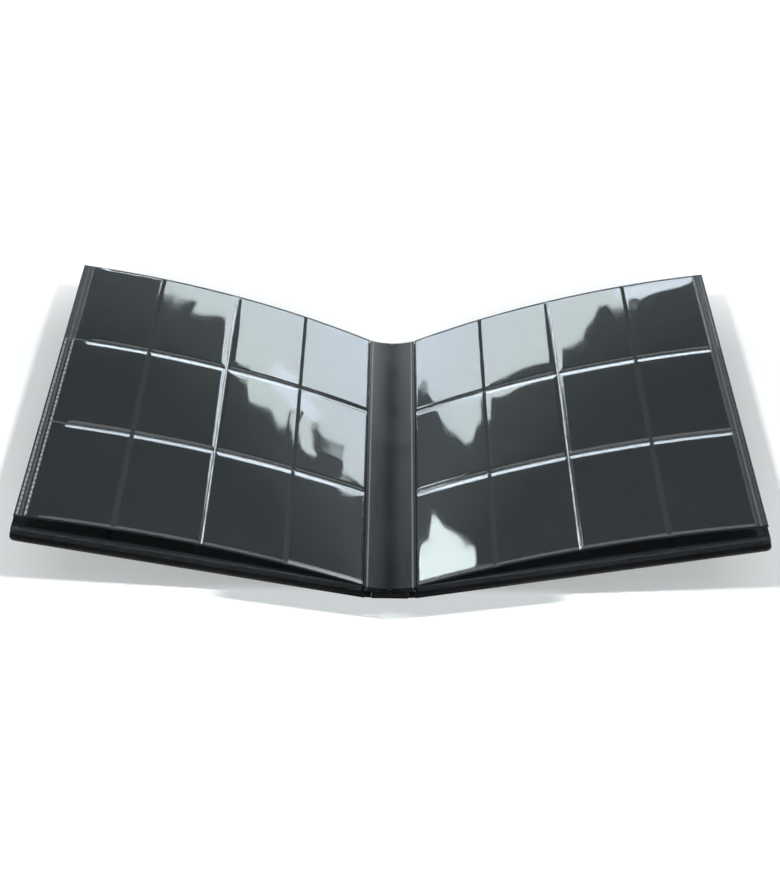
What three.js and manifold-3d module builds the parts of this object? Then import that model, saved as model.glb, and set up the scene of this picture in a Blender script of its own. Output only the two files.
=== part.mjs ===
// Trading card album lying open on its spine: a turned-in case, and side-loading pocket leaves bound at the fold.
// Millimetres, +Z up. The spine lies on the table along Y, and the two covers rise to the left and the right.
import * as THREE from "three";
import { mergeVertices } from "three/addons/utils/BufferGeometryUtils.js";
import Module from "manifold-3d";

const wasm = await Module();
wasm.setup();

// Pockets, after a standard card in a tight sleeve.
const cardWidth = 63.5;
const cardHeight = 88.9;
const pocketEaseAcross = 1.9;
const pocketEaseAlong = 1.5;
const weldWidth = 2.6;
const pocketColumns = 4;
const pocketRows = 3;
const pageMargin = 1;
const outerMargin = 4.6;
const slitWidth = 4;
const slitEndWeld = 1.5;
const pocketPuff = 0.7;
const puffRamp = 9;

// Sheets and how they lie on each other.
const clearance = 0.3;
const filmThickness = 0.25;
const backingThickness = 0.4;
const leavesPerSide = 5;
const topLeafStartSlope = 12.7;
const topLeafEndSlope = -6;

// Case: outer skin turned in over grey board, with a liner pasted inside.
const skinThickness = 0.4;
const boardThickness = 2;
const linerThickness = 0.3;
const turnInWidth = 14;
const linerInset = 4;
const coverOverhangSide = 0.6;
const coverOverhangEnds = 3.5;
const coverCornerRadius = 5;
const edgeRound = 0.7;

// Spine, its flexible joints, and the binding.
const openingSlope = 16;
const hingeSpacing = 38;
const spineWidth = 30.4;
const jointToCover = 2.2;
const panelSetback = 6.3;
const bindingWidth = 4.8;
const bindingHeight = 4.9;

const pitchAcross = cardWidth + pocketEaseAcross + weldWidth;
const pitchAlong = cardHeight + pocketEaseAlong + weldWidth;
const panelLength = pageMargin + pocketColumns * pitchAcross + outerMargin;
const pageHeight = pocketRows * pitchAlong + 2 * pageMargin;
const caseHeight = pageHeight + 2 * coverOverhangEnds;
const boardBase = skinThickness + clearance;
const turnInBase = boardBase + boardThickness + clearance;
const linerBase = turnInBase + skinThickness + clearance;
const caseTop = linerBase + linerThickness;
const leafThickness = backingThickness + 2 * (clearance + filmThickness);
const leafPitch = leafThickness + clearance;
const slope = THREE.MathUtils.degToRad(openingSlope);

const skinMaterial = new THREE.MeshStandardMaterial({ color: 0x1b1d1f, roughness: 0.45 });
const boardMaterial = new THREE.MeshStandardMaterial({ color: 0x8b8780, roughness: 0.9 });
const linerMaterial = new THREE.MeshStandardMaterial({ color: 0x202224, roughness: 0.7 });
const backingMaterial = new THREE.MeshStandardMaterial({ color: 0x2b2f31, roughness: 0.5 });
const bindingMaterial = new THREE.MeshStandardMaterial({ color: 0x4a4e50, roughness: 0.4 });
const filmMaterial = new THREE.MeshStandardMaterial({
  color: 0xdfe6ea,
  roughness: 0.08,
  transparent: true,
  opacity: 0.3,
});

/** A closed geometry as a solid for cutting. */
function toSolid(geometry) {
  const bare = geometry.clone();
  bare.deleteAttribute("normal");
  bare.deleteAttribute("uv");
  const merged = mergeVertices(bare, 1e-4);
  return new wasm.Manifold(
    new wasm.Mesh({
      numProp: 3,
      vertProperties: new Float32Array(merged.attributes.position.array),
      triVerts: new Uint32Array(merged.index.array),
    }),
  );
}

/** A cut solid back as a geometry. */
function toGeometry(solid) {
  const mesh = solid.getMesh();
  const geometry = new THREE.BufferGeometry();
  geometry.setAttribute("position", new THREE.BufferAttribute(mesh.vertProperties, 3));
  geometry.setIndex(new THREE.BufferAttribute(mesh.triVerts, 1));
  geometry.computeVertexNormals();
  return geometry;
}

function named(name, geometry, material) {
  const mesh = new THREE.Mesh(geometry, material);
  mesh.name = name;
  return mesh;
}

/** Plan outline from x0 to x1 across the spine, with its corners at the x1 end round or square. */
function planOutline(x0, x1, height, radius = 0) {
  const half = height / 2;
  const way = Math.sign(x1 - x0);
  const shape = new THREE.Shape();
  shape.moveTo(x0, -half);
  if (radius > 0) {
    shape.lineTo(x1 - way * radius, -half);
    shape.quadraticCurveTo(x1, -half, x1, -half + radius);
    shape.lineTo(x1, half - radius);
    shape.quadraticCurveTo(x1, half, x1 - way * radius, half);
  } else {
    shape.lineTo(x1, -half);
    shape.lineTo(x1, half);
  }
  shape.lineTo(x0, half);
  return shape;
}

/** A flat plate from base to top, with its outline's edges rounded over by round. */
function plate(outline, base, top, round = 0) {
  const geometry = new THREE.ExtrudeGeometry(outline, {
    depth: top - base - 2 * round,
    curveSegments: 4,
    bevelEnabled: round > 0,
    bevelThickness: round,
    bevelSize: round,
    bevelOffset: -round,
    bevelSegments: 2,
  });
  return geometry.translate(0, 0, base + round);
}

/** A section in the XZ plane drawn out along Y, centred on the middle of the spine. */
function drawnAlongY(section, length) {
  const geometry = new THREE.ExtrudeGeometry(section, { depth: length, bevelEnabled: false });
  return geometry.rotateX(Math.PI / 2).translate(0, length / 2, 0);
}

/** The section of a bent sheet of even thickness: thickness is laid on the left of the way along points. */
function sheetSection(points, thickness) {
  const normals = points.map((point, i) => {
    const before = points[Math.max(i - 1, 0)];
    const after = points[Math.min(i + 1, points.length - 1)];
    const along = after.clone().sub(before).normalize();
    return new THREE.Vector2(-along.y, along.x);
  });
  const far = points.map((point, i) => point.clone().addScaledVector(normals[i], thickness));
  return new THREE.Shape([...points, ...far.reverse()]);
}

/** Outer skin of a case board: one sheet below, edges folded up and turned in over the board. */
function turnedSkin(x0, x1, openEnds, radius) {
  const way = Math.sign(x1 - x0);
  const past = 5 * way;
  const inner = x0 - past;
  const cavityEnd = openEnds ? x1 + past : x1 - way * skinThickness;
  const openingEnd = openEnds ? x1 + past : x1 - way * turnInWidth;
  const top = turnInBase + skinThickness;
  const body = toSolid(plate(planOutline(x0, x1, caseHeight, radius), 0, top, edgeRound));
  const cavity = toSolid(
    plate(planOutline(inner, cavityEnd, caseHeight - 2 * skinThickness, radius), skinThickness, turnInBase),
  );
  const opening = toSolid(
    plate(planOutline(inner, openingEnd, caseHeight - 2 * turnInWidth), boardBase, top + 1),
  );
  return toGeometry(body.subtract(cavity).subtract(opening));
}

/** Board, skin and liner of one cover, in the cover's own flat frame. */
function cover(name, side) {
  const coverEnd = panelSetback + panelLength + coverOverhangSide;
  const boardInset = skinThickness + clearance;
  const group = new THREE.Group();
  group.add(
    named(
      `${name}_cover_skin`,
      turnedSkin(side * jointToCover, side * coverEnd, false, coverCornerRadius),
      skinMaterial,
    ),
    named(
      `${name}_cover_board`,
      plate(
        planOutline(
          side * (jointToCover + clearance),
          side * (coverEnd - boardInset),
          caseHeight - 2 * boardInset,
          coverCornerRadius,
        ),
        boardBase,
        boardBase + boardThickness,
      ),
      boardMaterial,
    ),
    named(
      `${name}_cover_liner`,
      plate(
        planOutline(
          side * panelSetback,
          side * (coverEnd - linerInset),
          caseHeight - 2 * linerInset,
          coverCornerRadius,
        ),
        linerBase,
        caseTop,
      ),
      linerMaterial,
    ),
  );
  return group;
}

/** Middle height of a leaf above the cover's outer face at its inner edge; leaf 1 is the top one. */
function leafBase(number) {
  return caseTop + clearance + (leavesPerSide - number) * leafPitch + leafThickness / 2;
}

/** Point of a leaf's middle surface, offset along its normal, at distance s from the scored inner edge. */
function leafPoint(leaf, s, offset) {
  const start = THREE.MathUtils.degToRad(leaf.startSlope);
  const bend = THREE.MathUtils.degToRad(leaf.endSlope - leaf.startSlope) / panelLength;
  const angle = start + bend * s;
  const across = bend === 0 ? s * Math.cos(start) : (Math.sin(angle) - Math.sin(start)) / bend;
  const rise = bend === 0 ? s * Math.sin(start) : (Math.cos(start) - Math.cos(angle)) / bend;
  return new THREE.Vector2(
    panelSetback + across - offset * Math.sin(angle),
    leafBase(leaf.number) + rise + offset * Math.cos(angle),
  );
}

/**
 * A thin closed sheet on a grid of lines across and along the leaf. layer(s, y) gives its lower and upper
 * offsets from the leaf's middle surface, and a cell where isOpen is true is a hole with walls round it.
 */
function leafSheet(leaf, side, across, along, layer, isOpen = () => false) {
  const positions = [];
  for (const y of along) {
    for (const s of across) {
      for (const offset of layer(s, y)) {
        const point = leafPoint(leaf, s, offset);
        positions.push(side * point.x, y, point.y);
      }
    }
  }
  const id = (i, j, level) => 2 * (j * across.length + i) + level;
  const filled = (i, j) =>
    i >= 0 && j >= 0 && i < across.length - 1 && j < along.length - 1 && !isOpen(i, j);
  const index = [];
  const quad = (a, b, c, d) => {
    index.push(...(side > 0 ? [a, b, c, a, c, d] : [a, c, b, a, d, c]));
  };
  for (let j = 0; j < along.length - 1; j += 1) {
    for (let i = 0; i < across.length - 1; i += 1) {
      if (filled(i, j)) {
        quad(id(i, j, 1), id(i + 1, j, 1), id(i + 1, j + 1, 1), id(i, j + 1, 1));
        quad(id(i, j, 0), id(i, j + 1, 0), id(i + 1, j + 1, 0), id(i + 1, j, 0));
        const edges = [
          [i, j - 1, i, j, i + 1, j],
          [i + 1, j, i + 1, j, i + 1, j + 1],
          [i, j + 1, i + 1, j + 1, i, j + 1],
          [i - 1, j, i, j + 1, i, j],
        ];
        for (const [nextI, nextJ, i0, j0, i1, j1] of edges) {
          if (!filled(nextI, nextJ)) {
            quad(id(i0, j0, 0), id(i1, j1, 0), id(i1, j1, 1), id(i0, j0, 1));
          }
        }
      }
    }
  }
  const geometry = new THREE.BufferGeometry();
  geometry.setAttribute("position", new THREE.Float32BufferAttribute(positions, 3));
  geometry.setIndex(index);
  geometry.computeVertexNormals();
  return geometry;
}

/** Evenly spaced lines from start to end. */
function evenLines(start, end, steps) {
  return Array.from({ length: steps + 1 }, (_, i) => start + ((end - start) * i) / steps);
}

/** Sorted lines without near repeats. */
function sortedLines(lines) {
  const sorted = [...lines].sort((a, b) => a - b);
  return sorted.filter((line, i) => i === 0 || line - sorted[i - 1] > 1e-3);
}

/** Columns that share one slit: the pockets load from the slit, to both sides of it. */
const slits = evenLines(0, pocketColumns, pocketColumns)
  .filter((column) => column % 2 === 1)
  .map((column) => pageMargin + column * pitchAcross);
const columnSeams = evenLines(0, pocketColumns, pocketColumns).map((n) => pageMargin + n * pitchAcross);
const rowSeams = evenLines(0, pocketRows, pocketRows).map((n) => (n - pocketRows / 2) * pitchAlong);
const slitSpans = rowSeams
  .slice(0, -1)
  .map((seam) => [seam + weldWidth / 2 + slitEndWeld, seam + pitchAlong - weldWidth / 2 - slitEndWeld]);

/** Rise of a filled-out pocket over the welds round it, from 0 at the weld to 1 over the card. */
function pillow(distance) {
  const t = THREE.MathUtils.clamp((distance - weldWidth / 2) / puffRamp, 0, 1);
  return Math.sin((t * Math.PI) / 2);
}

function nearest(lines, value) {
  return Math.min(...lines.map((line) => Math.abs(line - value)));
}

/** Clear pocket film over or under the backing, welded along its seams and open along its slits. */
function pocketFilm(leaf, side, above) {
  const across = [filmThickness, panelLength, ...slits.flatMap((s) => [s - slitWidth / 2, s + slitWidth / 2])];
  const along = [-pageHeight / 2, pageHeight / 2, ...slitSpans.flat()];
  if (leaf.startSlope !== leaf.endSlope) {
    across.push(...columnSeams.slice(1).flatMap((s) => [s - pitchAcross / 2, s]));
  }
  const puffed = leaf.puffed && above;
  if (puffed) {
    const ramp = weldWidth / 2 + puffRamp;
    across.push(...columnSeams.slice(1).flatMap((s) => [s - ramp, s - weldWidth / 2]));
    across.push(...columnSeams.slice(0, -1).flatMap((s) => [s + weldWidth / 2, s + ramp]));
    along.push(...rowSeams.slice(1).flatMap((y) => [y - ramp, y - weldWidth / 2]));
    along.push(...rowSeams.slice(0, -1).flatMap((y) => [y + weldWidth / 2, y + ramp]));
  }
  const acrossLines = sortedLines(across.filter((s) => !slits.includes(s)));
  const alongLines = sortedLines(along);
  const near = backingThickness / 2 + clearance;
  const layer = (s, y) => {
    const fromSeam = s > columnSeams.at(-1) ? 0 : nearest(columnSeams, s);
    const full = puffed ? pillow(fromSeam) * pillow(nearest(rowSeams, y)) : 0;
    const low = near + pocketPuff * full;
    return above ? [low, low + filmThickness] : [-low - filmThickness, -low];
  };
  const isOpen = (i, j) => {
    const s = (acrossLines[i] + acrossLines[i + 1]) / 2;
    const y = (alongLines[j] + alongLines[j + 1]) / 2;
    return nearest(slits, s) < slitWidth / 2 && slitSpans.some(([low, high]) => y > low && y < high);
  };
  return leafSheet(leaf, side, acrossLines, alongLines, layer, isOpen);
}

/** Backing sheet with its two pocket films, in the cover's own flat frame. */
function leafPanel(name, leaf, side) {
  const backing = leafSheet(
    leaf,
    side,
    evenLines(clearance / 2, panelLength, leaf.startSlope === leaf.endSlope ? 1 : 3 * pocketColumns),
    [-pageHeight / 2, pageHeight / 2],
    () => [-backingThickness / 2, backingThickness / 2],
  );
  const group = new THREE.Group();
  group.add(
    named(`${name}_backing`, backing, backingMaterial),
    named(`${name}_upper_film`, pocketFilm(leaf, side, true), filmMaterial),
    named(`${name}_lower_film`, pocketFilm(leaf, side, false), filmMaterial),
  );
  return group;
}

/** Inner end of a margin: beside the binding strip, or for a top leaf on it, at the middle of the fold. */
function foldPoint(number) {
  if (number === 1) {
    return new THREE.Vector2(clearance / 2 + backingThickness, caseTop + bindingHeight + 2 * clearance);
  }
  const stack = (leavesPerSide - number) * (backingThickness + clearance);
  return new THREE.Vector2(bindingWidth / 2 + 1.4 * clearance, caseTop + clearance + stack + clearance);
}

/** Flexible margin of a leaf: from its scored edge it arches in and dips into the central fold. */
function bindingMargin(leaf, side) {
  const edge = leafPoint(leaf, -clearance / 2, -backingThickness / 2);
  edge.rotateAround(new THREE.Vector2(0, 0), slope);
  edge.x += hingeSpacing / 2;
  const fold = foldPoint(leaf.number);
  const above = (leavesPerSide - leaf.number) / (leavesPerSide - 1);
  const reach = edge.x - fold.x;
  const curve = new THREE.CubicBezierCurve(
    fold,
    new THREE.Vector2(fold.x + reach * 0.12, fold.y + above * 4.4 + (1 - above) * 0.2),
    new THREE.Vector2(fold.x + reach * 0.55, edge.y + above * 0.4 - (1 - above) * 0.3),
    edge,
  );
  const points = curve.getPoints(10).map((point) => new THREE.Vector2(side * point.x, point.y));
  return drawnAlongY(sheetSection(side > 0 ? points : points.reverse(), backingThickness), pageHeight);
}

/** Flexible joint between the spine's skin and a cover's skin, bent along the hinge line. */
function hingeStrip(side) {
  const toCover = jointToCover - clearance;
  const points = [
    new THREE.Vector2(side * (spineWidth / 2 + clearance), 0),
    new THREE.Vector2((side * hingeSpacing) / 2 - side * 1.2, 0),
    new THREE.Vector2((side * hingeSpacing) / 2, 0.12),
    new THREE.Vector2(side * (hingeSpacing / 2 + toCover * Math.cos(slope)), toCover * Math.sin(slope)),
  ];
  return drawnAlongY(sheetSection(side > 0 ? points : points.reverse(), skinThickness), caseHeight - 2);
}

/** Spine board, skin and liner, the two flexible joints and the binding strip on the liner. */
function spine() {
  const half = spineWidth / 2;
  const boardHalf = half - clearance;
  const boardHeight = caseHeight - 2 * (skinThickness + clearance);
  const group = new THREE.Group();
  group.add(
    named("spine_skin", turnedSkin(-half, half, true, 0), skinMaterial),
    named(
      "spine_board",
      plate(planOutline(-boardHalf, boardHalf, boardHeight), boardBase, boardBase + boardThickness),
      boardMaterial,
    ),
    named(
      "spine_liner",
      plate(planOutline(-boardHalf, boardHalf, caseHeight - 2 * linerInset), linerBase, caseTop),
      linerMaterial,
    ),
    named(
      "binding_strip",
      plate(
        planOutline(-bindingWidth / 2, bindingWidth / 2, pageHeight),
        caseTop + clearance,
        caseTop + clearance + bindingHeight,
        edgeRound,
      ),
      bindingMaterial,
    ),
    named("left_hinge_strip", hingeStrip(-1), skinMaterial),
    named("right_hinge_strip", hingeStrip(1), skinMaterial),
  );
  return group;
}

const album = new THREE.Group();
album.add(spine());
for (const [name, side] of [["left", -1], ["right", 1]]) {
  const half = new THREE.Group();
  half.position.x = (side * hingeSpacing) / 2;
  half.rotation.y = -side * slope;
  half.add(cover(name, side));
  for (let number = leavesPerSide; number >= 1; number -= 1) {
    const top = number === 1;
    const leaf = {
      number,
      puffed: top,
      startSlope: top ? topLeafStartSlope : 0,
      endSlope: top ? topLeafEndSlope : 0,
    };
    const leafName = `${name}_leaf_${number}`;
    half.add(leafPanel(leafName, leaf, side));
    album.add(named(`${leafName}_margin`, bindingMargin(leaf, side), bindingMaterial));
  }
  album.add(half);
}

export default album;
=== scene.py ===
# %% [markdown]
# # An open trading card album
# The album is a turned-in case with five pocket leaves bound to each side of its fold. The CAD
# model gives the size and the place of every sheet, and this lesson dresses it: first the camera,
# then one finish for each material and the studio, then the sheets that need finer shapes.

# %% Load the frame
import math

import bmesh
import bpy
import numpy as np
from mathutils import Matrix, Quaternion, Vector


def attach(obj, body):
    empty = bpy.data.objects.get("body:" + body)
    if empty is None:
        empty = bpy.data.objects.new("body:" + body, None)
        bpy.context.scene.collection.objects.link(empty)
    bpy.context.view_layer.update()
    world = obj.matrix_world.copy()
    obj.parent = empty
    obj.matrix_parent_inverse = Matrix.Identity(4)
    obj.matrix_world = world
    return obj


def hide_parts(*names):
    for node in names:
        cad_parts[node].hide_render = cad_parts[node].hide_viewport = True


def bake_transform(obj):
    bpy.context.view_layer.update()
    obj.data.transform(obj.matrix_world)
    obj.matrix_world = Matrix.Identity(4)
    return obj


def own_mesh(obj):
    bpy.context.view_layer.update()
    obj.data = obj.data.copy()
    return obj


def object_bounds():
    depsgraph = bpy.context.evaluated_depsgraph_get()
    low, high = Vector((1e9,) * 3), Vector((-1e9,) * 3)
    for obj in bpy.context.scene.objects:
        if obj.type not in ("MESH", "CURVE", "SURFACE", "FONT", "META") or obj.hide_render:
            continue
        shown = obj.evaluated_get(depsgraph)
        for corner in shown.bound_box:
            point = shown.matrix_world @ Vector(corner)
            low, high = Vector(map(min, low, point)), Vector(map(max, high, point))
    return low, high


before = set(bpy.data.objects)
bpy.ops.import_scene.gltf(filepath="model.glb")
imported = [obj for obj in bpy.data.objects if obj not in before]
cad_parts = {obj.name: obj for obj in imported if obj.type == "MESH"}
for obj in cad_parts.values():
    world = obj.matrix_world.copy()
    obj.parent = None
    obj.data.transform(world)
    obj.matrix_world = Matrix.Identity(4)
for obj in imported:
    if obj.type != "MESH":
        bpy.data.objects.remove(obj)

cad_low, cad_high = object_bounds()
print("CAD box, mm:", [round(1000 * v, 1) for v in (*cad_low, *cad_high)])

# %% [markdown]
# ## Sizes
# A leaf lies on its cover, and the cover is tilted about the joint beside the spine. The numbers
# are those of the CAD source, in millimetres, so that each new sheet lies where the solid lies. Two
# were set a little smaller after the photograph: the height of the film and the width of a slit.
# Two small functions turn a place on a leaf into a place in the room.

# %% Sizes of the case and of the leaves
MM = 0.001
slope = math.radians(16)
hinge_x = 19.0
panel_setback = 6.3
panel_length = 277.6
page_height = 281.0
film_height = 278.2
case_height = 288.0
case_top = 4.0
leaf_pitch = 1.8
leaf_thickness = 1.5
clearance = 0.3
film_thickness = 0.25
backing_thickness = 0.4
column_width = 68.0
first_seam, middle_seam = 1.0, 137.0
column_seams = first_seam + column_width * np.arange(5)
row_height = 93.0
inner_row, outer_row = 46.5, 139.5
row_seams = row_height * np.arange(4) - outer_row
slit_seams = (69.0, 205.0)
slit_width = 3.4
arch_start, arch_end = math.radians(12.7), math.radians(-6)
leaf_count = 5
sides = {"left": -1, "right": 1}


def leaf_base(number):
    """Height of a leaf's middle surface above the cover's outer face, at its inner edge."""
    return case_top + clearance + (leaf_count - number) * leaf_pitch + leaf_thickness / 2


def in_room(side, u, w):
    """A point of a tilted half, u along the cover and w above it, as x and z in the room."""
    x = side * (hinge_x + u * math.cos(slope) - w * math.sin(slope))
    return x, u * math.sin(slope) + w * math.cos(slope)


def on_top_leaf(s, offset):
    """The arched top leaf: s along it from the scored edge, offset above its middle surface."""
    bend = (arch_end - arch_start) / panel_length
    angle = arch_start + bend * s
    across = (np.sin(angle) - math.sin(arch_start)) / bend
    rise = (math.cos(arch_start) - np.cos(angle)) / bend
    return (
        panel_setback + across - offset * np.sin(angle),
        leaf_base(1) + rise + offset * np.cos(angle),
    )


print("top leaf starts at", [round(float(v), 2) for v in in_room(1, *on_top_leaf(0.0, 0.0))])

# %% [markdown]
# ## Camera
# The camera was fitted to the crossings of the pocket seams: it stands almost straight in front of
# the spine, about 51 degrees above the table and 0.94 m away. The slight roll is the
# photographer's.

# %% Camera
def photograph_camera():
    elevation, yaw, roll = math.radians(50.78), math.radians(-0.54), math.radians(1.25)
    target, distance = Vector((-0.00116, 0, 0.02222)), 0.94265
    back = Vector(
        (
            math.sin(yaw) * math.cos(elevation),
            -math.cos(yaw) * math.cos(elevation),
            math.sin(elevation),
        )
    )
    data = bpy.data.cameras.new("photograph_camera")
    data.lens = 42.65
    data.sensor_width = 36
    data.clip_start, data.clip_end = 0.01, 50
    camera = bpy.data.objects.new("photograph_camera", data)
    camera.location = target + back * distance
    camera.rotation_mode = "QUATERNION"
    turned = (-back).to_track_quat("-Z", "Y")
    camera.rotation_quaternion = turned @ Quaternion((0, 0, 1), roll)
    bpy.context.scene.collection.objects.link(camera)
    return camera


bpy.context.scene.camera = photograph_camera()
bpy.context.scene.view_settings.view_transform = "Standard"
print("camera at", [round(v, 3) for v in bpy.context.scene.camera.location])

# %% [markdown]
# ## Shader maths
# A finish is easier to read as arithmetic than as a heap of nodes. This small class holds one
# socket and knows plus, minus and times. Numbers go through Math nodes, and vectors through Vector
# Math, because a Math node would turn a vector into one number. Every other node comes from
# `node()`.

# %% A socket that can be calculated with
class Thread:
    def __init__(self, tree, socket=None):
        self.tree = tree
        self.socket = socket

    def node(self, kind, settings=None, values=None, output=0):
        """Adds a node: its settings first, then numbers, colours or threads for its sockets."""
        made = self.tree.nodes.new("ShaderNode" + kind)
        for name, value in (settings or {}).items():
            if name == "stops":
                ramp = made.color_ramp
                while len(ramp.elements) < len(value):
                    ramp.elements.new(0.5)
                for element, (place, colour) in zip(ramp.elements, value, strict=True):
                    element.position = place
                    element.color = colour
            else:
                setattr(made, name, value)
        for name, value in (values or {}).items():
            if isinstance(value, Thread):
                self.tree.links.new(value.socket, made.inputs[name])
            else:
                made.inputs[name].default_value = value
        return Thread(self.tree, made.outputs[output])

    def sum_with(self, operation, first, second):
        kinds = [t.socket.type for t in (first, second) if isinstance(t, Thread)]
        kind = "VectorMath" if "VECTOR" in kinds else "Math"
        return self.node(kind, {"operation": operation}, {0: first, 1: second})

    def __add__(self, other):
        return self.sum_with("ADD", self, other)

    def __radd__(self, other):
        return self.sum_with("ADD", other, self)

    def __sub__(self, other):
        return self.sum_with("SUBTRACT", self, other)

    def __rsub__(self, other):
        return self.sum_with("SUBTRACT", other, self)

    def __mul__(self, other):
        return self.sum_with("MULTIPLY", self, other)

    def __rmul__(self, other):
        return self.sum_with("MULTIPLY", other, self)

    def absolute(self):
        return self.node("Math", {"operation": "ABSOLUTE"}, {0: self})

    def power(self, exponent):
        return self.sum_with("POWER", self, exponent)

    def ramp(self, low, high, bottom=0.0, top=1.0):
        """Smoothly from bottom to top as this value goes from low to high."""
        return self.node(
            "MapRange",
            {"interpolation_type": "SMOOTHSTEP"},
            {"Value": self, 1: low, 2: high, 3: bottom, 4: top},
        )

    def between(self, first, second):
        """One colour where this value is 0, and another where it is 1."""
        return self.node(
            "Mix", {"data_type": "RGBA"}, {0: self, 6: first, 7: second}, output=2
        )


def finish(name):
    """A new material, its Principled node and a thread to start from."""
    material = bpy.data.materials.new(name)
    material.use_nodes = True
    tree = material.node_tree
    return material, tree.nodes["Principled BSDF"], Thread(tree)


def axis_of(start, vector, axis):
    """One axis, X, Y or Z, of a vector."""
    return start.node("SeparateXYZ", None, {0: vector}, output=axis)


def near(value, middle, inside, outside, peak=1.0):
    """A band around middle: peak until inside away from it, then down to 0 at outside."""
    return (value - middle).absolute().ramp(inside, outside, peak, 0.0)


def grain(start, place, scale, detail=3.0, rough=0.55):
    return start.node(
        "TexNoise", None, {"Vector": place, "Scale": scale, "Detail": detail, "Roughness": rough}
    )


def feed(start, shader, **sockets):
    """Links threads to a shader's sockets. Base_Color stands for the socket Base Color."""
    for name, value in sockets.items():
        start.tree.links.new(value.socket, shader.inputs[name.replace("_", " ")])


def relief(start, height, depth, strength=1.0):
    return start.node("Bump", None, {"Strength": strength, "Distance": depth, "Height": height})


print("shader helpers are ready")

# %% [markdown]
# ## Case finish
# The skin is a thin plastic-coated sheet pressed with a fine leather grain. Small Voronoi cells
# make the pebbles, and a slow noise makes some of them shinier than others, as handling does. A
# bump is enough for them, because the grain is too fine to change the outline.

# %% Leather-grained skin
def case_finish():
    material, shader, start = finish("grained_skin")
    place = start.node("TexCoord", output="Object")
    pebbles = start.node(
        "TexVoronoi",
        {"feature": "DISTANCE_TO_EDGE"},
        {"Vector": place + grain(start, place, 260) * 0.0012, "Scale": 900},
    )
    valleys = pebbles.ramp(0.0, 0.22)
    handled = grain(start, place, 22, 4).ramp(0.35, 0.7)
    tone = handled.between((0.0034, 0.0036, 0.0040, 1), (0.0056, 0.0058, 0.0063, 1))
    feed(
        start,
        shader,
        Base_Color=(valleys * 0.35 + 0.65).between((0.0012, 0.0012, 0.0014, 1), tone),
        Roughness=handled * -0.1 + 0.5 - valleys * 0.06,
        Normal=relief(start, valleys + grain(start, place, 1900) * 0.3, 0.00008, 0.8),
    )
    shader.inputs["Specular IOR Level"].default_value = 0.08
    return material


skin_finish = case_finish()
print(skin_finish.name, len(skin_finish.node_tree.nodes), "nodes")

# %% [markdown]
# ## Board and liner
# The board is pressed grey pulp: pale and dark fibres in a mid grey, which a noise stretched along
# one axis draws. The liner pasted over it is a matte paper with a fine linen emboss, and two wave
# patterns that cross at right angles give both its threads and their relief.

# %% Grey board
def board_finish():
    material, shader, start = finish("pulp_board")
    place = start.node("TexCoord", output="Object")
    stretched = start.node("Mapping", None, {"Vector": place, "Scale": (1.0, 6.0, 6.0)})
    fibres = grain(start, stretched, 420, 5, 0.7)
    pulp = fibres.ramp(0.3, 0.7)
    feed(
        start,
        shader,
        Base_Color=pulp.between((0.16, 0.15, 0.135, 1), (0.34, 0.32, 0.285, 1)),
        Roughness=pulp * 0.1 + 0.82,
        Normal=relief(start, fibres, 0.0001, 0.7),
    )
    return material


def liner_finish():
    material, shader, start = finish("linen_paper")
    place = start.node("TexCoord", output="Object")
    threads = [
        start.node(
            "TexWave",
            {"wave_type": "BANDS", "bands_direction": direction},
            {"Vector": place, "Scale": 420, "Distortion": 1.6, "Detail": 2.0, "Detail Scale": 3.0},
            output=1,
        )
        for direction in ("X", "Y")
    ]
    weave = threads[0] * 0.5 + threads[1] * 0.5
    worn = grain(start, place, 30, 3).ramp(0.3, 0.75)
    low_tone, high_tone = (0.009, 0.0095, 0.0105, 1), (0.022, 0.023, 0.025, 1)
    feed(
        start,
        shader,
        Base_Color=(weave * 0.6 + worn * 0.4).between(low_tone, high_tone),
        Roughness=worn * -0.08 + 0.7,
        Normal=relief(start, weave, 0.00005, 0.6),
    )
    return material


paper_finish = liner_finish()
pulp_finish = board_finish()
print(pulp_finish.name, paper_finish.name)

# %% [markdown]
# ## Backing and binding
# The backing sheet between the films is a dark charcoal plastic with a dull, faintly mottled face,
# a little lighter in a strip below the two slits. The binding margins are the same plastic,
# stretched smooth over the fold, so they shine softly and show fine lines that run with the spine.
# A painted highlight lies along their scored edge, and painted shade darkens them into the valley
# of the fold.

# %% Charcoal sheet and stretched margin
def backing_finish():
    material, shader, start = finish("charcoal_sheet")
    place = start.node("TexCoord", output="Object")
    mottle = grain(start, place, 35, 5, 0.6).ramp(0.3, 0.72)
    fine = grain(start, place, 1500, 2)
    across = axis_of(start, start.node("UVMap", {"uv_map": "sheet"}), "X") * 1000
    from_middle = (across - middle_seam).absolute()
    strip = near(from_middle, column_width, 1.9, 2.5)
    slow = grain(start, place, 7, 2, 0.4).ramp(0.3, 0.7)
    pocket = slow.between((0.0045, 0.0062, 0.0066, 1), (0.0053, 0.0064, 0.0080, 1))
    worn = mottle.between((0.85, 0.85, 0.85, 1), (1.1, 1.1, 1.1, 1))
    multiply = {"data_type": "RGBA", "blend_type": "MULTIPLY"}
    shade = start.node("Mix", multiply, {0: 1.0, 6: pocket, 7: worn}, 2)
    feed(
        start,
        shader,
        Base_Color=strip.between(shade, (0.0145, 0.0165, 0.0175, 1)),
        Roughness=mottle * 0.08 + 0.5,
        Normal=relief(start, fine, 0.00003, 0.5),
    )
    shader.inputs["Specular IOR Level"].default_value = 0.06
    return material


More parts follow.
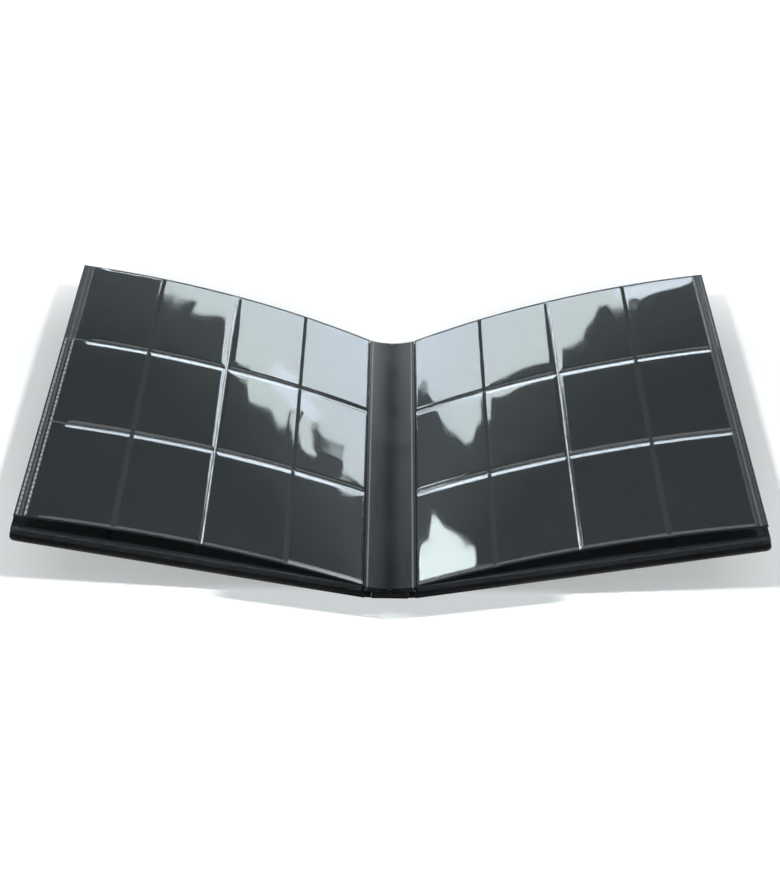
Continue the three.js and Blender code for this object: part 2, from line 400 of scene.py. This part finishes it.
def margin_finish():
    material, shader, start = finish("stretched_margin")
    place = start.node("TexCoord", output="Object")
    drawn = start.node("Mapping", None, {"Vector": place, "Scale": (1.0, 0.03, 1.0)})
    lines = grain(start, drawn, 900, 3, 0.6)
    worn = grain(start, place, 40, 3).ramp(0.35, 0.7)
    inward = axis_of(start, start.node("UVMap", {"uv_map": "sheet"}), "X") * 1000
    # Painted highlight along the scored line.
    score_highlight = near(inward, 3.0, 0.3, 0.9)
    low_tone, high_tone = (0.0080, 0.0100, 0.0105, 1), (0.0115, 0.0135, 0.0145, 1)
    drawn_tone = lines.ramp(0.35, 0.65).between(low_tone, high_tone)
    # Painted shade: darker towards the valley of the fold.
    valley = inward.ramp(12.0, 20.5).between(drawn_tone, (0.0030, 0.0040, 0.0044, 1))
    shade = inward.ramp(1.8, 2.8).between((0.0035, 0.0045, 0.0048, 1), valley)
    feed(
        start,
        shader,
        Base_Color=score_highlight.between(shade, (0.075, 0.082, 0.085, 1)),
        Roughness=worn * 0.08 + 0.28,
        Normal=relief(start, lines, 0.00004, 0.3),
    )
    shader.inputs["Specular IOR Level"].default_value = 0.25
    return material


charcoal = backing_finish()
satin_margin = margin_finish()
print(charcoal.name, satin_margin.name)

# %% [markdown]
# ## Clear film
# Polypropylene film is clear, so what shows is the sheet below it and the room in its gloss. A
# Transparent shader lets the backing through. A Glossy shader is mixed over it by how far the film
# is turned from the eye, to the fifth power, as real gloss rises. Where the film is welded it turns
# cloudy, and the outer border of a page is dull, with a faint braid on the left page. The light
# line on the middle seam is drawn in, and so are painted highlights: the rims of the border and the
# bar of light along the near edge. The buried leaves are straight, so their welds are worked out in
# the shader and pressed in by a bump.

# %% Place on a buried leaf
def laid_flat(start):
    """Metres across and along a straight leaf of the stack, from its place in the room."""
    place = start.node("TexCoord", output="Object")
    x, y, z = (axis_of(start, place, axis) for axis in "XYZ")
    shift = MM * (hinge_x * math.cos(slope) + panel_setback)
    across = x.absolute() * math.cos(slope) + z * math.sin(slope) - shift
    return start.node("CombineXYZ", None, {0: across, 1: y})


def weld_lines(start, sheet):
    """Distance in millimetres to the nearest weld of a straight leaf."""
    x, y = (axis_of(start, sheet, axis) * 1000 for axis in "XY")
    half = column_width / 2
    columns = start.node("Math", {"operation": "PINGPONG"}, {0: x - first_seam, 1: half})
    bars = (y.absolute() - inner_row).absolute() + columns.ramp(1.5, 4.0, 3.0, 0.0)
    rows = bars.sum_with("MINIMUM", bars, (outer_row - y.absolute()) * 2)
    return rows.sum_with("MINIMUM", rows, columns)


print("welds of a buried leaf: every", column_width, "mm across and", row_height, "mm along")

# %% Relief and border of the film
border_start = 267.0
far_row_starts = (44, 48)


def film_relief(start, sheet, weld, banks):
    """Normal of a film with slow ripples and a fine knurl in its welds, and the knurl itself."""
    slow = grain(start, sheet, 9, 2, 0.4)
    values = {"Strength": 0.35, "Distance": 0.0006, "Height": slow} | banks
    ripples = start.node("Bump", None, values)
    knurl = grain(start, sheet, 400, 2, 0.5)
    values = {"Strength": 0.5, "Distance": 0.00006, "Height": knurl * weld, "Normal": ripples}
    return start.node("Bump", None, values), knurl


def border_twist(start, sheet):
    """Slanted waves along the border, from which its braid is made."""
    values = {"Vector": sheet, "Scale": 68, "Distortion": 5, "Detail": 2}
    return start.node("TexWave", {"bands_direction": "Y"}, values, output=1)


def border_rim_highlights(across, along, on_left, twist):
    """Painted highlights on two lines of the border: by the near rows on the left, by the far row
    on the right.
    """
    seen_left = along.ramp(*far_row_starts, 1.3, 0.05)
    seen = on_left * seen_left + (1 - on_left) * along.ramp(*far_row_starts, 0.1, 0.6)
    inner = near(across, 269.3, 0.3, 1.3, 0.55) * twist.ramp(0.2, 0.9, 0.4, 1.0)
    outer = near(across, 275.3, 0.3, 1.3, 0.45) * twist.ramp(0.1, 0.8, 1.0, 0.4)
    return (inner + outer) * seen


print("border of a page:", round(panel_length - border_start, 1), "mm wide")

# %% Film finish
def film_finish(name, stacked=False):
    """Film of the top leaves, or with its welds worked out for the straight leaves of the stack."""
    material, shader, start = finish(name)
    tree = material.node_tree
    if stacked:
        sheet = laid_flat(start)
        distance = weld_lines(start, sheet)
        weld = distance.ramp(0.3, 1.3, 1.0, 0.0)
        banks = {"Normal": relief(start, distance.ramp(0.6, 4.6), 0.0007)}
    else:
        sheet = start.node("UVMap", {"uv_map": "sheet"})
        weld = start.node("Attribute", {"attribute_name": "weld"}, output="Fac")
        banks = {}
    surface, knurl = film_relief(start, sheet, weld, banks)
    across, along = (axis_of(start, sheet, axis) * 1000 for axis in "XY")
    room_x = axis_of(start, start.node("TexCoord", output="Object"), "X")
    on_left = room_x.ramp(-0.01, 0.01, 1.0, 0.0)
    glossy_side = on_left * along.ramp(*far_row_starts, 1.0, 0.0)
    dull = across.ramp(border_start, border_start + 2.5) * (1 - glossy_side)
    twist = border_twist(start, sheet)
    in_border = across.ramp(border_start, border_start + 1.0)
    braid = in_border * twist.ramp(0.2, 0.7, 0.8, 0.0) * glossy_side
    roughness = weld * 0.1 + 0.035 + dull * 0.4
    clear = start.node("BsdfTransparent", None, {"Color": (0.97, 0.98, 0.98, 1)})
    values = {"Color": (0.96, 0.98, 1.0, 1), "Roughness": roughness, "Normal": surface}
    gloss = start.node("BsdfAnisotropic", None, values)
    facing = start.node("LayerWeight", None, {"Blend": 0.5, "Normal": surface}, output="Facing")
    head_on = 0.045
    mirror = (facing.power(5) * (1 - head_on) + head_on) * (1 - dull * 0.85) * (1 - braid)
    feed(
        start,
        shader,
        Base_Color=weld.between((0.5, 0.54, 0.56, 1), (0.62, 0.66, 0.68, 1)),
        Roughness=weld * 0.1 + 0.3,
    )
    cloud = knurl.ramp(0.3, 0.75) * weld
    near_end = along.ramp(-137.2, -135.2, 1.0, 0.0)
    if stacked:
        sideways = axis_of(start, start.node("TexCoord", output="Normal"), "Y").absolute()
        face = sideways.ramp(0.5, 0.8, 1.0, 0.0)
        mirror = mirror * face * (1 - near_end)
        cloud = cloud * face * 0.02
    else:
        patchy = grain(start, sheet, 45, 3, 0.6).ramp(0.3, 0.6, 0.35, 1.0)
        crease = near(across, middle_seam, 0.25, 0.8) * patchy
        # Painted highlights: the two rims of the border, and a bar of light along the near edge,
        # brighter on the left page.
        rim_highlights = border_rim_highlights(across, along, on_left, twist)
        bar = near_end * across.ramp(67, 69, 1.0, 0.0)
        lit_bar = bar * across.ramp(5, 68, 1.0, 0.5) * (on_left * 0.13 + 0.05)
        mirror = mirror * (1 - bar * 0.9)
        cloud = cloud * 0.03 + weld * 0.02 + crease * 0.3 + rim_highlights * 0.35 + lit_bar
    film = start.node("MixShader", None, {0: mirror, 1: clear, 2: gloss})
    body = Thread(tree, shader.outputs[0])
    both = start.node("MixShader", None, {0: cloud + 0.006, 1: film, 2: body})
    tree.links.new(both.socket, tree.nodes["Material Output"].inputs["Surface"])
    return material


clear_film = film_finish("clear_film")
stacked_film = film_finish("stacked_film", stacked=True)
print(clear_film.name, len(clear_film.node_tree.nodes), "nodes")

# %% [markdown]
# ## Studio
# A pale table, two wide soft lamps, one small low lamp that throws the crisp shadow, and a dim
# room. The table is white to the camera and still holds the shadow, because its own glow is only
# for camera rays. One lamp can't throw the shadow that lies close before the spine as well, so the
# table's finish draws it, from how open the air above each place is.

# %% Table and room
def before_the_spine(x, y):
    """The shallow V of the table close before the spine, where the contact shadow may lie."""
    deep_enough = (y - x.absolute() * 0.14).ramp(-0.168, -0.163)
    outside_the_case = y.ramp(-0.14, -0.13, 1.0, 0.0)
    return deep_enough * outside_the_case * x.absolute().ramp(0.13, 0.17, 1.0, 0.0)


def table_finish():
    material, shader, start = finish("pale_table")
    tree = material.node_tree
    shader.inputs["Base Color"].default_value = (0.76, 0.79, 0.80, 1)
    shader.inputs["Roughness"].default_value = 0.9
    shader.inputs["Specular IOR Level"].default_value = 0.0
    path = start.node("LightPath", output="Is Camera Ray")
    place = start.node("TexCoord", output="Object")
    away = start.node("VectorMath", {"operation": "LENGTH"}, {0: place}, output="Value")
    x, y = (axis_of(start, place, axis) for axis in "XY")
    # Painted light: the glow rises behind the album, which lightens the far end of its shadow.
    behind = y.ramp(0.14, 0.36, 0.0, 0.5)
    strength = path * (away.ramp(0.36, 0.6, 0.08, 0.9) + behind)
    glow = start.node("Emission", None, {"Color": (1, 1, 1, 1), "Strength": strength})
    body = Thread(tree, shader.outputs[0])
    plain = start.node("AddShader", None, {0: body, 1: glow})
    open_air = start.node("AmbientOcclusion", {"samples": 16}, {"Distance": 0.06}, output="AO")
    covered = open_air.ramp(0.94, 0.99, 1.0, 0.0)
    tone = start.node("Emission", None, {"Color": (0.60, 0.63, 0.64, 1), "Strength": path})
    shaded = start.node("MixShader", None, {0: covered, 1: plain, 2: tone})
    whole = start.node("MixShader", None, {0: before_the_spine(x, y), 1: plain, 2: shaded})
    tree.links.new(whole.socket, tree.nodes["Material Output"].inputs["Surface"])
    return material


def table():
    mesh = bpy.data.meshes.new("table")
    reach, ground = 6.0, float(cad_low[2]) - 0.0002
    corners = [(reach * x, reach * y, ground) for x, y in ((-1, -1), (1, -1), (1, 1), (-1, 1))]
    mesh.from_pydata(corners, [], [(0, 1, 2, 3)])
    mesh.materials.append(table_finish())
    made = bpy.data.objects.new("table", mesh)
    bpy.context.scene.collection.objects.link(made)
    return made


def room(dim=0.3):
    """Dim for the soft light on the album, and white for the camera and for mirrors."""
    world = bpy.data.worlds.new("room")
    world.use_nodes = True
    bpy.context.scene.world = world
    start = Thread(world.node_tree)
    seen = (
        start.node("LightPath", output="Is Camera Ray")
        + start.node("LightPath", output="Is Glossy Ray")
        + start.node("LightPath", output="Is Transmission Ray")
    )
    background = world.node_tree.nodes["Background"]
    colour = seen.between((dim, dim, dim, 1), (1, 1, 1, 1))
    world.node_tree.links.new(colour.socket, background.inputs["Color"])


floor = table()
room()
print(floor.name, "and", bpy.context.scene.world.name)

# %% Lamps
def soft_lamp(name, place, aim, width, height, power):
    data = bpy.data.lights.new(name, "AREA")
    data.shape = "RECTANGLE"
    data.size, data.size_y = width, height
    data.energy = power
    lamp = bpy.data.objects.new(name, data)
    lamp.location = place
    lamp.rotation_mode = "QUATERNION"
    lamp.rotation_quaternion = (Vector(aim) - Vector(place)).to_track_quat("-Z", "Y")
    lamp.visible_glossy = False
    lamp.visible_camera = False
    bpy.context.scene.collection.objects.link(lamp)
    return lamp


soft_lamp("overhead", (0, 0.05, 2.6), (0, 0, 0), 2.2, 2.2, 14)
soft_lamp("front_fill", (0, -2.2, 1.6), (0, 0, 0), 1.6, 1.0, 46)
soft_lamp("desk_lamp", (0, -0.24, 0.54), (0, -0.24, 0), 0.03, 0.03, 4.6)

# %% [markdown]
# ## Reflections
# Pale shapes with a ragged edge stand in the gloss of the pockets. Painted on the film, they would
# stay where they are when a leaf turns. So they are cut cards that glow behind the album, with a
# dark cloth behind them, and the film mirrors them as a real one does. Only mirrors see the cards.

# %% Cut cards for the gloss
def mirrored_card(name, outline, distance, glow, low=2.0, high=3.2, at_foot=1.3):
    """A card only mirrors see. Its glow is at_foot times as strong below low as above high."""
    mesh = bpy.data.meshes.new(name)
    mesh.from_pydata([(x * MM, distance, z * MM) for x, z in outline], [], [range(len(outline))])
    material = bpy.data.materials.new(name)
    material.use_nodes = True
    tree = material.node_tree
    tree.nodes.remove(tree.nodes["Principled BSDF"])
    start = Thread(tree)
    place = start.node("TexCoord", output="Object")
    height = axis_of(start, place, "Z")
    colour = height.ramp(3.6, 5.8).between((0.84, 0.92, 1.0, 1), (0.86, 0.95, 0.93, 1))
    strength = height.ramp(low, high, glow * at_foot, glow)
    light = start.node("Emission", None, {"Color": colour, "Strength": strength})
    tree.links.new(light.socket, tree.nodes["Material Output"].inputs["Surface"])
    mesh.materials.append(material)
    card = bpy.data.objects.new(name, mesh)
    card.visible_camera = False
    card.visible_diffuse = False
    card.visible_shadow = False
    card.visible_transmission = False
    bpy.context.scene.collection.objects.link(card)
    return card


# The outlines are in millimetres, across and up.
skyline_right = [
    (-800, 1200), (9000, 1200), (9000, 2400), (7400, 3500), (6300, 4850), (6133, 5015),
    (5984, 4793), (5784, 4702), (5564, 4850), (5386, 4940), (5246, 4980), (5041, 4980),
    (4900, 5130), (5150, 5180), (5300, 5200), (5400, 5260), (5381, 5369), (5142, 5482),
    (4857, 5540), (4640, 5400), (4570, 5170), (4481, 5212), (4561, 5385), (4607, 5547),
    (4457, 5715), (4262, 5705), (4053, 5649), (3846, 5709), (3514, 5780), (3399, 5655),
    (3286, 5540), (3060, 5600), (2900, 5600), (2620, 5520), (2484, 5322), (2139, 5427),
    (1859, 5566), (1668, 5578), (1746, 5411), (1558, 5483), (1256, 5630), (1000, 5640),
    (1000, 4900), (-800, 4900),
]
skyline_left = [
    (-780, 1200), (-9000, 1200), (-9000, 1900), (-6500, 2300), (-5800, 3300), (-5156, 3928),
    (-5219, 4249), (-5317, 4529), (-5287, 4686), (-5190, 4882), (-5161, 5270), (-4985, 5374),
    (-4658, 5281), (-4495, 5370), (-4380, 5180), (-4200, 5130), (-4031, 5258), (-3776, 5399),
    (-3351, 5341), (-3162, 5400), (-2718, 5594), (-2443, 5626), (-2149, 5797), (-1954, 5837),
    (-1881, 5736), (-1680, 5697), (-1490, 5556), (-1260, 5675), (-1154, 5790), (-969, 5813),
    (-800, 5765),
]
skyline_corner = [
    (140, 370), (300, 370), (300, 405), (280, 411), (259, 414), (234, 412), (209, 409), (173, 415),
    (150, 404), (140, 395),
]
loose_cloud = [
    (-10500, 8800), (-8312, 5000), (-7197, 5426), (-6786, 5195), (-6649, 5302), (-6707, 5761),
    (-6529, 6114), (-6468, 6404), (-6324, 6606), (-6628, 6972), (-9500, 8900),
]
dark_cloth = [(-18000, -10), (18000, -10), (18000, 17000), (-18000, 17000)]
cards = [
    mirrored_card("skyline_right_card", skyline_right, 6.0, 7.0),
    mirrored_card("skyline_left_card", skyline_left, 6.02, 7.0),
    mirrored_card("skyline_corner_card", skyline_corner, 0.45, 6.6),
    mirrored_card("cloud_card", loose_cloud, 6.0, 10.5),
    mirrored_card("dark_cloth", dark_cloth, 6.1, 0.08, low=4.9, high=7.2, at_foot=5.6),
]
print("corners of the cards and the cloth:", [len(card.data.vertices) for card in cards])

# %% [markdown]
# ## Sheets on a grid
# A film or a backing is a thin closed sheet. It is laid out flat as a grid of lines, given a height
# at every crossing, and then wrapped on the arched leaf. Lines stand close together across a weld
# and wide apart over a card. Cells that lie in a slit are left out, and walls close every open
# side.

# %% Grid sheet
sharp_angle = math.radians(35)


def close_lines(start, end, step, around=(), reach=7.0, fine=0.55):
    """Lines from start to end, step apart, and fine apart near each value of around."""
    lines = [start]
    while lines[-1] < end - 1e-6:
        close = any(abs(lines[-1] - value) < reach for value in around)
        lines.append(lines[-1] + (fine if close else step))
    lines[-1] = end
    if lines[-1] - lines[-2] < 0.3 * fine:
        del lines[-2]
    return np.array(lines)


def with_slits(lines):
    """The lines with both edges of each slit put in and the lines inside a slit taken out."""
    kept = [v for v in lines if all(abs(v - s) > slit_width / 2 + 0.15 for s in slit_seams)]
    kept += [s + half for s in slit_seams for half in (-slit_width / 2, slit_width / 2)]
    return np.array(sorted(kept))


def grid_sheet(name, side, across, along, low, high, wrap, is_open=None, weld=None):
    """Closed sheet between the heights low and high over a grid, wrapped by wrap(s, height)."""
    s, y = np.meshgrid(across, along)
    count = s.size
    points = []
    for height in (low(s, y), high(s, y)):
        x, z = in_room(side, *wrap(s, height))
        points.append(np.stack([x, y, z], axis=-1).reshape(-1, 3))
    vertices = np.concatenate(points) * MM
    columns = len(across)
    mid_s, mid_y = (s[:-1, :-1] + s[1:, 1:]) / 2, (y[:-1, :-1] + y[1:, 1:]) / 2
    solid = np.ones(mid_s.shape, bool) if is_open is None else ~is_open(mid_s, mid_y)
    padded = np.pad(solid, 1)
    faces = []

    def cells(mask, corners):
        """One face for each marked cell. Level 0 is the low side of the sheet and 1 the high."""
        j, i = np.nonzero(mask)
        place = [(j + dj) * columns + i + di + level * count for di, dj, level in corners]
        return np.stack(place, axis=1)

    faces.append(cells(solid, [(0, 0, 1), (1, 0, 1), (1, 1, 1), (0, 1, 1)]))
    faces.append(cells(solid, [(0, 0, 0), (0, 1, 0), (1, 1, 0), (1, 0, 0)]))
    for dj, di, corners in (
        (-1, 0, [(0, 0, 0), (1, 0, 0), (1, 0, 1), (0, 0, 1)]),
        (0, 1, [(1, 0, 0), (1, 1, 0), (1, 1, 1), (1, 0, 1)]),
        (1, 0, [(1, 1, 0), (0, 1, 0), (0, 1, 1), (1, 1, 1)]),
        (0, -1, [(0, 1, 0), (0, 0, 0), (0, 0, 1), (0, 1, 1)]),
    ):
        beside = padded[1 + dj : padded.shape[0] - 1 + dj, 1 + di : padded.shape[1] - 1 + di]
        faces.append(cells(solid & ~beside, corners))
    faces = np.concatenate(faces)
    if side < 0:
        faces = faces[:, ::-1]
    used = np.unique(faces)
    renumber = np.zeros(len(vertices), int)
    renumber[used] = np.arange(len(used))
    mesh = bpy.data.meshes.new(name)
    mesh.from_pydata(vertices[used].tolist(), [], renumber[faces].tolist())
    sheet = mesh.uv_layers.new(name="sheet")
    flat = np.concatenate([np.stack([s, y], axis=-1).reshape(-1, 2)] * 2)[used] * MM
    corner_vertices = np.empty(len(mesh.loops), int)
    mesh.loops.foreach_get("vertex_index", corner_vertices)
    sheet.data.foreach_set("uv", flat[corner_vertices].astype(np.float32).ravel())
    if weld is not None:
        values = np.concatenate([weld(s, y).ravel()] * 2)[used]
        mask = mesh.attributes.new("weld", "FLOAT", "POINT")
        mask.data.foreach_set("value", values.astype(np.float32))
    mesh.shade_smooth()
    mesh.set_sharp_from_angle(angle=sharp_angle)
    made = bpy.data.objects.new(name, mesh)
    bpy.context.scene.collection.objects.link(made)
    return made


upper_across = with_slits(close_lines(1.2, panel_length - clearance, 3.0, column_seams))
print("grid of", len(upper_across), "lines across the upper film")

# %% [markdown]
# ## Top leaves
# The two top leaves are what the photograph shows best. Each pocket film is pressed down to the
# backing along the welds and stands a little proud over the cards, so every weld is a small valley.
# One bank mirrors the dark cloth and the other the white room, which is why a weld reads as a thin
# white line. A bump would bend the mirror images too, but not the edge of a page or of a slit, so
# the valleys are in the mesh. The row welds are bars with round ends that stop short of the seams.

# %% Height of the pocket film
half_bar = 31.0
full_bar_end = 268.0
outer_weld = 272.6
last_centre = first_seam + 3.5 * column_width
welded_height, bank_height, crown_height = 0.36, 0.70, 0.08


def smooth(t):
    t = np.clip(t, 0, 1)
    return t * t * (3 - 2 * t)


def to_nearest(lines, values):
    return np.abs(values[..., None] - np.asarray(lines)).min(axis=-1)


def weld_distance(s, y, last_bar):
    """Distance to the nearest weld's middle line. The outermost row bars end at last_bar.

    A distance multiplied by more than 1 makes a weld narrower than the others.
    """
    rows = to_nearest(row_seams, y) * np.where(np.abs(y) > 100, 2.0, 1.0)
    column = np.floor(np.clip(np.interp(s, column_seams, np.arange(5)), 0, 3.999))
    centre = (column + 0.5) * column_width + first_seam
    past_centre = np.where(s > last_centre, s - last_bar, np.abs(s - centre) - half_bar)
    beyond = np.maximum(past_centre, 0)
    bars = np.hypot(beyond, rows)
    narrowing = np.interp(y, [-100, 0, 46, 60], [1.7, 1.3, 1.2, 0.8])
    middle_weld = np.maximum(np.abs(s - middle_seam) - 0.3, 0) * narrowing
    inner = np.maximum(s - 0.9, 0) * 2.2
    outer = np.abs(s - outer_weld)
    return np.minimum.reduce([bars, middle_weld, inner, outer])


def wrinkle(s, y, seed):
    """Slow waves in the film, different in every pocket and still at the welds."""
    chance = np.random.default_rng(seed)
    column = np.clip(((s - first_seam) // column_width).astype(int), 0, 3)
    row = np.clip(((y + outer_row) // row_height).astype(int), 0, 2)
    total = np.zeros_like(s)
    for wave in range(5):
        length = 22 + 16 * wave
        turn = chance.uniform(0, math.pi, (4, 3))[column, row]
        phase = chance.uniform(0, 2 * math.pi, (4, 3))[column, row]
        way = s * np.cos(turn) + y * np.sin(turn)
        total += (length / 60) * np.sin(2 * math.pi / length * way + phase)
    return total


def pocket_height(s, y, seed, last_bar):
    """Middle of the upper film above the leaf's middle surface. One far pocket swells a little."""
    bank = smooth((weld_distance(s, y, last_bar) - 0.6) / 4.0)
    edges = np.minimum(to_nearest(row_seams, y), to_nearest(column_seams, s))
    crown = np.sin(np.clip(edges / 22, 0, 1) * math.pi / 2)
    waves = wrinkle(s, y, seed) * 0.018 * smooth((edges - 1) / 9)
    in_far_pocket = (s < middle_seam) * (y > inner_row)
    swell = 0.2 * np.exp(-((s - 128) ** 2 + (y - 54) ** 2) / 2 / 15**2) * in_far_pocket
    return welded_height + bank_height * bank + crown_height * crown + waves + swell * bank


def weld_mask(s, y):
    """1 in a weld and 0 over a card."""
    return 1 - smooth(weld_distance(s, y, full_bar_end) - 0.3)


print("upper film, mm above a weld:", round(bank_height + crown_height, 2), "over a card")

# %% Pocket films of the top leaves
def in_slit(s, y):
    along = to_nearest(row_seams, y)
    return (to_nearest(slit_seams, s) < slit_width / 2) & (along > 0.7)


def pocket_film(name, side, across, along, middle):
    """A clear film around the height middle(s, y), with its slits and welds."""
    half = film_thickness / 2
    made = grid_sheet(
        name,
        side,
        across,
        along,
        lambda s, y: middle(s, y) - half,
        lambda s, y: middle(s, y) + half,
        on_top_leaf,
        in_slit,
        weld_mask,
    )
    made.data.materials.append(clear_film)
    return made


def top_upper_film(name, side, seed):
    along = close_lines(-film_height / 2, film_height / 2, 3.0, row_seams)
    last_bar = 255.0 if name == "left" else full_bar_end

    def height(s, y):
        return pocket_height(s, y, seed, last_bar)

    return pocket_film(f"{name}_leaf_1_pockets", side, upper_across, along, height)


def top_lower_film(name, side):
    reach, fine = 3.0, 1.0
    lines = close_lines(0.9, panel_length - clearance, 8.0, column_seams, reach, fine)
    along = close_lines(-film_height / 2, film_height / 2, 8.0, row_seams, reach, fine)

    def height(s, y):
        bank = smooth((weld_distance(s, y, full_bar_end) - 0.4) / 2.4)
        return -welded_height - 0.26 * bank

    return pocket_film(f"{name}_leaf_1_back_pockets", side, with_slits(lines), along, height)


def top_backing(name, side):
    across = np.linspace(0.8, panel_length, 70)
    along = np.linspace(-page_height / 2, page_height / 2, 12)
    made = grid_sheet(
        f"{name}_leaf_1_sheet",
        side,
        across,
        along,
        lambda s, y: np.full_like(s, -backing_thickness / 2),
        lambda s, y: np.full_like(s, backing_thickness / 2),
        on_top_leaf,
    )
    made.data.materials.append(charcoal)
    return made


def press_flat(piece, side):
    """Gives the piece its own copy of its mesh. The stack's top beside this side is worked out but
    not used.
    """
    stack_top = 11.3
    x, z = in_room(side, 0.0, stack_top)
    x * MM
    z * MM
    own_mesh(piece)


for seed, (name, side) in enumerate(sides.items()):
    for piece, node, slot in (
        (top_upper_film(name, side, 11 + seed), "upper_film", "pocket_film"),
        (top_lower_film(name, side), "lower_film", "pocket_film"),
        (top_backing(name, side), "backing", "backing"),
    ):
        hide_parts(f"{name}_leaf_1_{node}")
        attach(piece, f"{name}_leaf_1")
        press_flat(piece, side)
        print(piece.name, len(piece.data.polygons), "faces")

# %% [markdown]
# ## Binding margins
# Every leaf ends in a flexible margin that arches up from the scored edge and dips into the fold.
# A smooth curve from the fold to that edge, drawn along the spine, gives its shape.

# %% Margins
def margin_curve(number, steps=26):
    """From the fold to the scored edge, as x and z in millimetres on the right side."""
    gap, drop = 0.15, 0.2
    below = leaf_count - number
    if number == 1:
        place = on_top_leaf(-gap, -drop)
        fold = np.array([clearance / 2 + backing_thickness, case_top + 4.9 + 2 * clearance])
    else:
        place = panel_setback - gap - 0.1 * below, leaf_base(number) - drop
        fold = np.array([2.4 + 1.4 * clearance, case_top + 2 * clearance + below * 0.7])
    edge = np.array(in_room(1, *place))
    reach, rise = edge - fold
    first = fold + (0.45 * reach, 0.02 * rise)
    second = fold + (0.75 * reach, 0.5 * rise)
    t = np.linspace(0, 1, steps + 1)[:, None]
    return (
        (1 - t) ** 3 * fold
        + 3 * (1 - t) ** 2 * t * first
        + 3 * (1 - t) * t**2 * second
        + t**3 * edge
    )


def drawn_strip(name, curve, thickness, length, steps=14):
    """A thin strip laid on a curve of x and z, drawn along Y and closed all round."""
    tangent = np.gradient(curve, axis=0)
    tangent /= np.linalg.norm(tangent, axis=1)[:, None]
    normal = np.stack([-tangent[:, 1], tangent[:, 0]], axis=1)
    normal *= np.sign(normal[:, 1].mean())
    top = curve + normal * thickness
    ring = np.concatenate([curve, top[::-1]])
    along = np.linspace(-length / 2, length / 2, steps + 1)
    vertices = [(x * MM, y * MM, z * MM) for y in along for x, z in ring]
    size = len(ring)
    faces = []
    for here in range(0, steps * size, size):
        further = here + size
        for i in range(size):
            following = (i + 1) % size
            faces.append((here + i, here + following, further + following, further + i))
    for base in (0, steps * size):
        for i in range(len(curve) - 1):
            faces.append((base + i, base + i + 1, base + size - 2 - i, base + size - 1 - i))
    mesh = bpy.data.meshes.new(name)
    mesh.from_pydata(vertices, [], faces)
    steps_in = np.linalg.norm(np.diff(curve, axis=0), axis=1)
    inward = steps_in.sum() - np.concatenate([[0], np.cumsum(steps_in)])
    place = np.tile(np.concatenate([inward, inward[::-1]]), steps + 1)
    flat = np.stack([place, np.repeat(along, size)], axis=1) * MM
    sheet = mesh.uv_layers.new(name="sheet")
    for loop in mesh.loops:
        sheet.data[loop.index].uv = flat[loop.vertex_index]
    made = bpy.data.objects.new(name, mesh)
    bpy.context.scene.collection.objects.link(made)
    return made


def outward(piece):
    """Turns every face of a closed mesh outward and smooths it."""
    shell = bmesh.new()
    shell.from_mesh(piece.data)
    bmesh.ops.recalc_face_normals(shell, faces=shell.faces)
    shell.to_mesh(piece.data)
    shell.free()
    piece.data.shade_smooth()
    piece.data.set_sharp_from_angle(angle=sharp_angle)
    return piece


for name, side in sides.items():
    for number in range(1, leaf_count + 1):
        curve = margin_curve(number) * [side, 1]
        strip = drawn_strip(f"{name}_leaf_{number}_fold", curve, backing_thickness, page_height)
        margin = outward(strip)
        margin.data.materials.append(satin_margin)
        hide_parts(f"{name}_leaf_{number}_margin")
        start, end = curve[0] * MM, curve[-1] * MM
        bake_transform(margin)
print("margins:", leaf_count * len(sides))

# %% Flexible joints of the case
skin_thickness = 0.4
on_cover = 2.18
cover_end = (hinge_x + on_cover * math.cos(slope), on_cover * math.sin(slope))
knee = np.array([(15.21, 0), (17.2, 0), (18.3, 0.03), (19.2, 0.17), (20.0, 0.36), cover_end])
for name, side in sides.items():
    curve = knee * [side, 1]
    strip = outward(drawn_strip(f"{name}_joint_skin", curve, skin_thickness, case_height - 2))
    strip.data.materials.append(skin_finish)
    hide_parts(f"{name}_hinge_strip")
    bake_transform(strip)

# %% [markdown]
# ## Finishes on the CAD solids
# The skins of the case, the boards, the liners, the binding strip and the buried leaves are right
# as the CAD model has them. They keep that shape and only get a finish, by the last word of their
# name.

# %% Dress the CAD nodes
dressing = {
    "skin": skin_finish,
    "board": pulp_finish,
    "liner": paper_finish,
    "backing": charcoal,
    "film": stacked_film,
    "strip": satin_margin,
    "margin": satin_margin,
}
for node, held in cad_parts.items():
    ending = node.rsplit("_", 1)[-1]
    for place in held.material_slots:
        place.material = dressing[ending]
print("dressed", len(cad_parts), "nodes")
